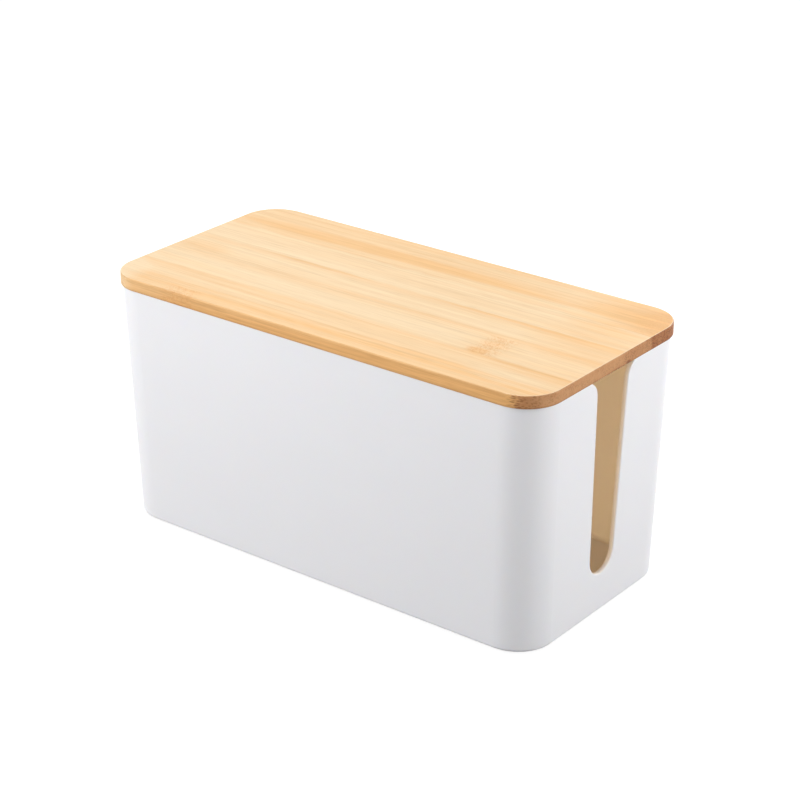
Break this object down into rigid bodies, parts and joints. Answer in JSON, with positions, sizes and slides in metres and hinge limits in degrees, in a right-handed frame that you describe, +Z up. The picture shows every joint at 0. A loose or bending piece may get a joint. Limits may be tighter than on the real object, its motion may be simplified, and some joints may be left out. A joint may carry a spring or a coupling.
{
  "type": "cable management box",
  "caption": "Rectangular desk box that hides a power strip: drafted white plastic tub with a cord slot in each end, rounded corners, a lift-off bamboo lid and rubber feet.",
  "frame": {"origin": "on the surface that the feet stand on, under the middle of the box", "axes": "+Z up, X along the length from one slotted end to the other, Y from front to back"},
  "size_m": [0.235, 0.115, 0.122],
  "materials": {
    "body_plastic": "satin moulded white",
    "lid_bamboo": "clear matt lacquer over pale bamboo",
    "foot_rubber": "matt translucent grey"
  },
  "bodies": {
    "tub": {"box_body": "body_plastic", "foot_front_left": "foot_rubber", "foot_front_right": "foot_rubber", "foot_rear_left": "foot_rubber", "foot_rear_right": "foot_rubber"},
    "lid": {"lid_board": "lid_bamboo"}
  },
  "joints": [
    {"name": "lid_lift", "type": "slide", "parent": "tub", "child": "lid", "axis": [0, 0, 1], "range_m": [0, 0.12]}
  ]
}
